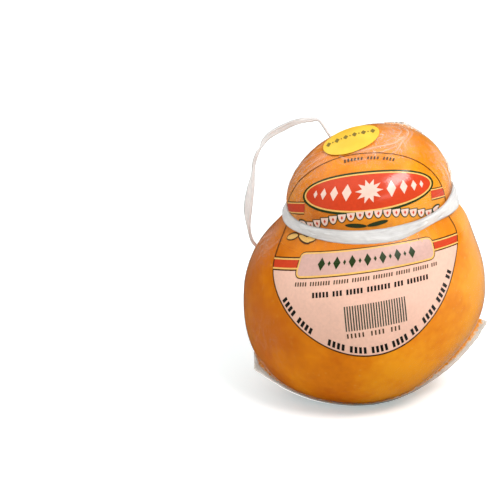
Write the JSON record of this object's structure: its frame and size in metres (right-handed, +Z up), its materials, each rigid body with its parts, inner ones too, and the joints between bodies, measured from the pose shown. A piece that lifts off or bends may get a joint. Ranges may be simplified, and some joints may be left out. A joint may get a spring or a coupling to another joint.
{
  "type": "smoked scamorza cheese",
  "caption": "Pear-shaped smoked cheese sealed in a tight clear bag, resting upright, with a plastic string tied round its neck and a hanging loop.",
  "frame": {"origin": "middle of the flat spot on the underside that the cheese rests on", "axes": "+Z up, +X to the right seen from the front, and the printed front faces -Y"},
  "size_m": [0.0902, 0.0857, 0.1043],
  "materials": {
    "bagged_cheese": "smooth smoked rind under clear gloss film",
    "white_string": "satin folded tape",
    "yellow_paper": "satin paper"
  },
  "bodies": {
    "root": {"scamorza": "bagged_cheese", "neck_string": "white_string", "knot": "white_string", "hanging_loop": "white_string", "sticker": "yellow_paper"}
  },
  "joints": []
}
